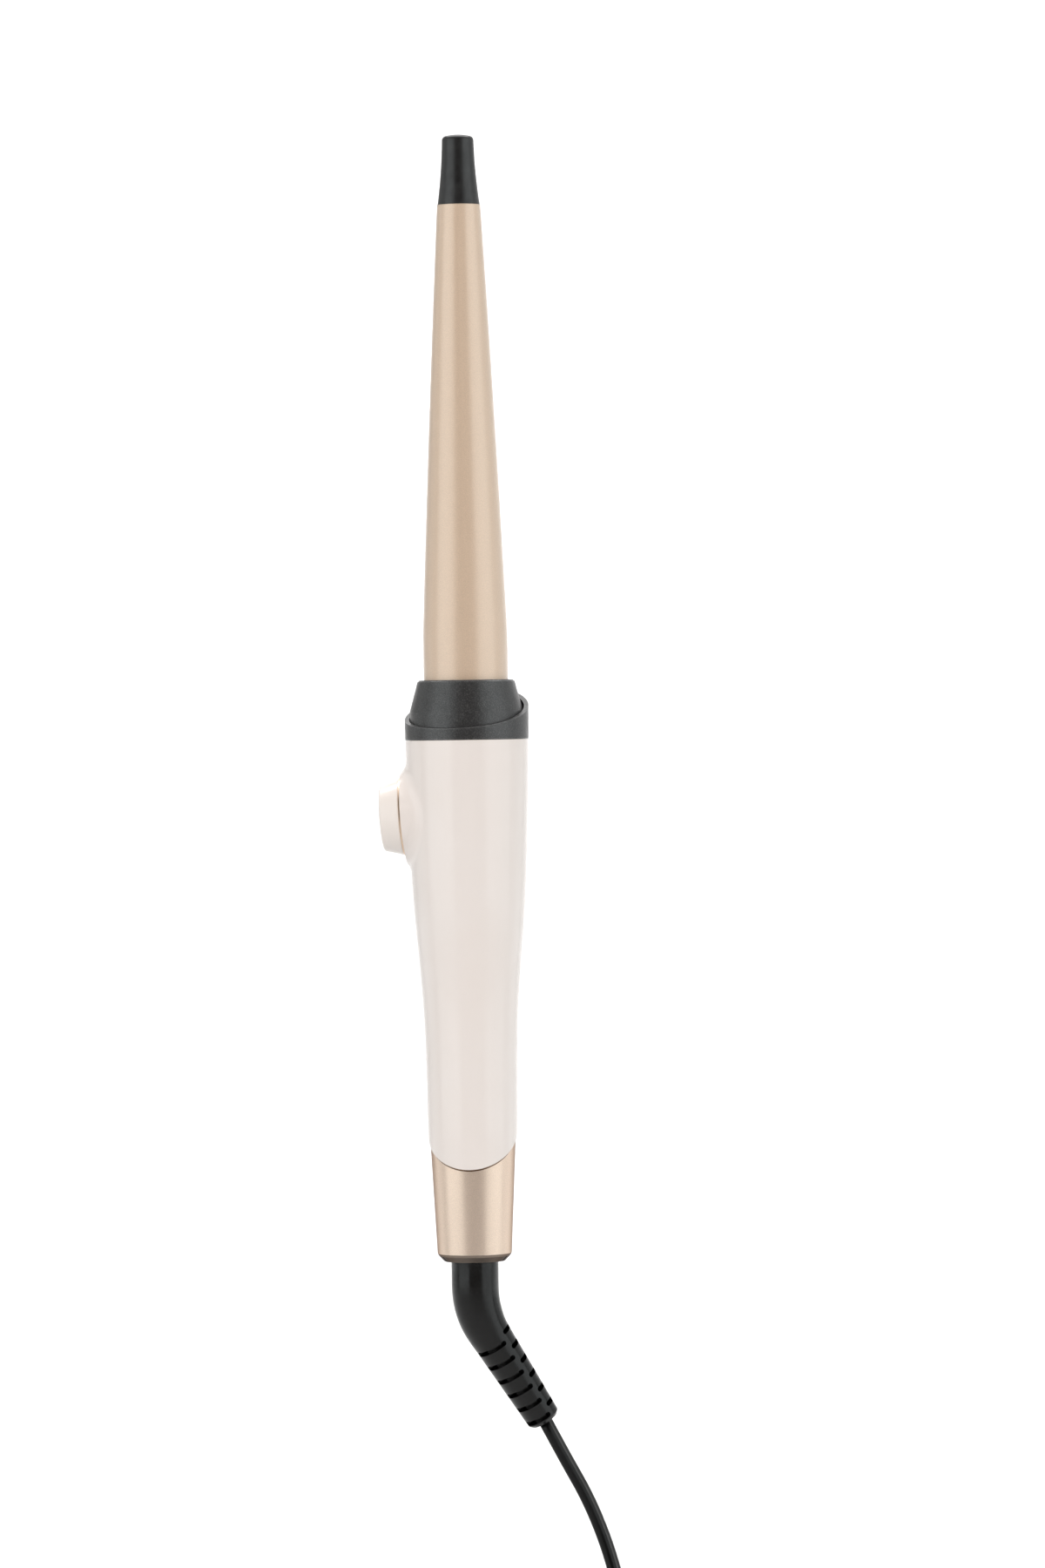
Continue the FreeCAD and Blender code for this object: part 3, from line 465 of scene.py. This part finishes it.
def metal(name, color, roughness, stretch=(1, 1, 0.1)):
    """Bare or plated metal, its grain drawn out along one axis."""
    surface = Surface(name, color, roughness, 1.0)
    surface.vary_color(surface.noise(160, 3), scaled(color, 1.12))
    surface.vary_roughness(surface.noise(900, 4, stretch), 0.08)
    surface.bump(surface.noise(1500, 3, stretch), 0.00001, 0.5)
    return surface.material


def moulded(name, color, roughness=0.5):
    """Plain plastic, ceramic or film of the inner pieces."""
    surface = Surface(name, color, roughness)
    surface.vary_color(surface.noise(180, 3), scaled(color, 0.8))
    surface.vary_roughness(surface.noise(700, 3), 0.08)
    surface.bump(surface.noise(2000, 3), 0.00003, 0.5)
    return surface.material


def strap():
    """Woven strap: fine crossed ribs."""
    surface = Surface("tie_strap", (0.012, 0.012, 0.013), 0.8, Sheen_Weight=0.2)
    for axis in "XZ":
        wave = surface.node("TexWave", {"Vector": surface.place, "Scale": 420}, bands_direction=axis)
        surface.bump(wave.outputs["Fac"], 0.0002, 0.7)
    surface.vary_color(surface.noise(500, 3), (0.035, 0.035, 0.037))
    return surface.material


def stage_pale():
    """The floor's matt pale grey."""
    color = (0.52, 0.52, 0.52)
    surface = Surface("stage_pale", color, 0.9)
    surface.vary_color(surface.noise(3, 2), scaled(color, 0.995))
    return surface.material


# The denoiser treats places smoother and rougher than about 0.274 differently, and a surface that
# crosses that value shows specks or streaks. Screws aside, the roughness of each outer piece
# stays on one side of it over its whole swing.
MATERIALS = {
    "barrel": champagne(
        "barrel_coating", (0.70, 0.53, 0.39), metallic=0.2, roughness=0.42, grain=0.000008, coat=1.0,
        rim_wear_and_shade=0.3,
    ),
    "charcoal": charcoal(),
    "tip_black": tip_black(),
    "shell": glossy_shell(
        "shell_gloss", (0.90, 0.835, 0.80), (0.89, 0.82, 0.78), 0.24, rim=(0.48, 0.35, 0.25),
    ),
    "dial": glossy_shell(
        "dial_cream", (0.92, 0.855, 0.81), (0.91, 0.84, 0.79), 0.31, rim=(0.8, 0.7, 0.62),
    ),
    "button": glossy_shell(
        "button_cream", (0.91, 0.845, 0.80), (0.90, 0.83, 0.78), 0.24, rim=(0.8, 0.7, 0.62),
    ),
    "trim": metal("trim_tan", (0.86, 0.66, 0.50), 0.36),
    "cuff": champagne(
        "cuff_finish", (0.88, 0.71, 0.58), metallic=0.9, roughness=0.31, grain=0.000002, coat=0.2,
        rim_wear_and_shade=1.0, grazing=(0.15, 0.1, 0.08), joint=(CUFF_JOINT_HEIGHT, CUFF_JOINT_SLOPE),
    ),
    "boot": rubber("boot_rubber", 0.0008, 0.215, 0.45),
    "cord": rubber("cord_sheath", 0.0008, 0.33, 0.3),
    "plug": rubber("plug_black", 0.005, 0.38, 0.6),
    "tie": strap(),
    "pins": metal("plated_brass", (0.78, 0.74, 0.66), 0.19),
    "spreader": metal("bare_aluminium", (0.78, 0.78, 0.8), 0.34),
    "ceramic": moulded("ceramic", (0.22, 0.22, 0.24)),
    "film": moulded("amber_film", (0.65, 0.42, 0.14), 0.35),
    "hub": moulded("hub_plastic", (0.55, 0.52, 0.48)),
    "board": moulded("board_green", (0.04, 0.19, 0.07), 0.35),
    "component": moulded("component_black", (0.035, 0.035, 0.04)),
    "screw": metal("zinc_steel", (0.62, 0.62, 0.64), 0.3),
    "lead": moulded("lead_red", (0.5, 0.05, 0.04), 0.45),
}


def dress_nodes():
    """Gives every carried-over node the material of its slot."""
    for entry in frame["record"]["subparts"]:
        materials = frame["nodes"][entry["node"]].data.materials
        materials.clear()
        materials.append(MATERIALS[entry["material_slot"]])


dress_nodes()
cord.data.materials.append(MATERIALS["cord"])
dial_skirt.data.materials.append(MATERIALS["dial"])

# ---- stage and light --------------------------------------------------------------------------

FLOOR_FRONT, WALL_BACK = -2.4, 3.2
STAGE_WIDTH, WALL_HEIGHT = 7.0, 4.5
BEND_RADIUS, BEND_STEPS = 1.2, 16


def make_stage():
    """A pale floor that curves up into a wall far behind."""
    outline = [(FLOOR_FRONT, 0)]
    for step in range(BEND_STEPS + 1):
        angle = math.pi / 2 * step / BEND_STEPS
        y = WALL_BACK - BEND_RADIUS + BEND_RADIUS * math.sin(angle)
        outline.append((y, BEND_RADIUS - BEND_RADIUS * math.cos(angle)))
    outline.append((WALL_BACK, WALL_HEIGHT))
    mesh = bmesh.new()
    left, right = (
        [mesh.verts.new((x, y, SURFACE + z)) for y, z in outline]
        for x in (-STAGE_WIDTH / 2, STAGE_WIDTH / 2)
    )
    for index in range(len(outline) - 1):
        mesh.faces.new((left[index], right[index], right[index + 1], left[index + 1]))
    floor = added_mesh("stage_floor", mesh, smooth=True)
    floor.data.materials.append(stage_pale())


def area_light(name, place, size, power, color=(1, 1, 1), aim=(0, 0, 0.03)):
    """A rectangular light that looks at the wand unless it is aimed elsewhere."""
    data = bpy.data.lights.new(name, "AREA")
    data.shape = "RECTANGLE"
    data.size, data.size_y = size
    data.energy = power
    data.color = color
    light = added(name, data)
    light.location = place
    light.rotation_euler = (Vector(aim) - Vector(place)).to_track_quat("-Z", "Y").to_euler()
    return light


def make_lights():
    """Cool panels at both sides and weaker ones behind, a warm fill from the front that shows in
    no reflection, a little light from above, and a strong light on the wall."""
    cool = (0.93, 0.99, 1.0)
    warm = (1.0, 0.93, 0.89)
    area_light("left_box", (-1.18, -0.92, 0.2), (1.6, 2.0), 12, cool)
    area_light("right_box", (1.38, -0.585, 0.2), (1.6, 2.0), 12, cool)
    area_light("left_rear", (-1.53, 0.47, 0.2), (1.0, 2.0), 3, cool)
    area_light("right_rear", (1.43, 0.73, 0.2), (1.0, 2.0), 3.4, cool)
    front = area_light("front_fill", (0.1, -2.6, 1.5), (1.6, 1.2), 36, warm)
    front.visible_glossy = False
    area_light("top_box", (0, -0.2, 1.7), (1.2, 1.2), 4)
    area_light("wall_light", (0, 1.0, 2.2), (3.0, 1.0), 190, aim=(0, 3.0, 0.4))


def make_world():
    """A dim warm fill all round, and a plain pale backdrop where a view looks past the stage."""
    world = bpy.data.worlds.new("studio")
    world.use_nodes = True
    tree = world.node_tree
    fill = tree.nodes["Background"]
    fill.inputs["Color"].default_value = (1.0, 0.9, 0.82, 1)
    fill.inputs["Strength"].default_value = 0.12
    backdrop = tree.nodes.new("ShaderNodeBackground")
    backdrop.inputs["Color"].default_value = (0.8, 0.8, 0.8, 1)
    mix = tree.nodes.new("ShaderNodeMixShader")
    tree.links.new(tree.nodes.new("ShaderNodeLightPath").outputs["Is Camera Ray"], mix.inputs[0])
    tree.links.new(fill.outputs["Background"], mix.inputs[1])
    tree.links.new(backdrop.outputs["Background"], mix.inputs[2])
    tree.links.new(mix.outputs["Shader"], tree.nodes["World Output"].inputs["Surface"])
    bpy.context.scene.world = world


make_stage()
make_lights()
make_world()
bpy.context.scene.view_settings.view_transform = "Standard"
